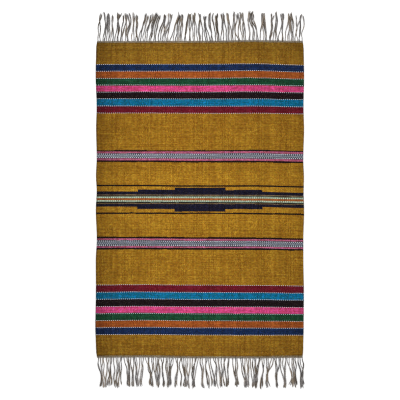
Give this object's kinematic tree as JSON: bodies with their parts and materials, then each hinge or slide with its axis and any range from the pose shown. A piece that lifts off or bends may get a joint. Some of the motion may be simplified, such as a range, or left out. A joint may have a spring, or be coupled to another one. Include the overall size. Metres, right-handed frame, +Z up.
{
  "type": "jajim rug",
  "caption": "Small flatwoven wool rug, weft-faced, mustard with fine striped bands, a stepped middle band and undyed warp fringe at both ends.",
  "frame": {"origin": "on the floor, under the middle of the box round the whole rug with its fringes", "axes": "+Z up out of the rug's face, +Y along the rug towards its head end, +X across it to the right"},
  "size_m": [0.8048, 1.4442, 0.0046],
  "materials": {
    "woven_wool": "matte ribbed wool flatweave, mustard with coloured weft stripes",
    "warp_yarn": "matte undyed grey-brown twisted yarn"
  },
  "bodies": {
    "root": {"woven_panel": "woven_wool", "fringe_head": "warp_yarn", "fringe_foot": "warp_yarn"}
  },
  "joints": []
}
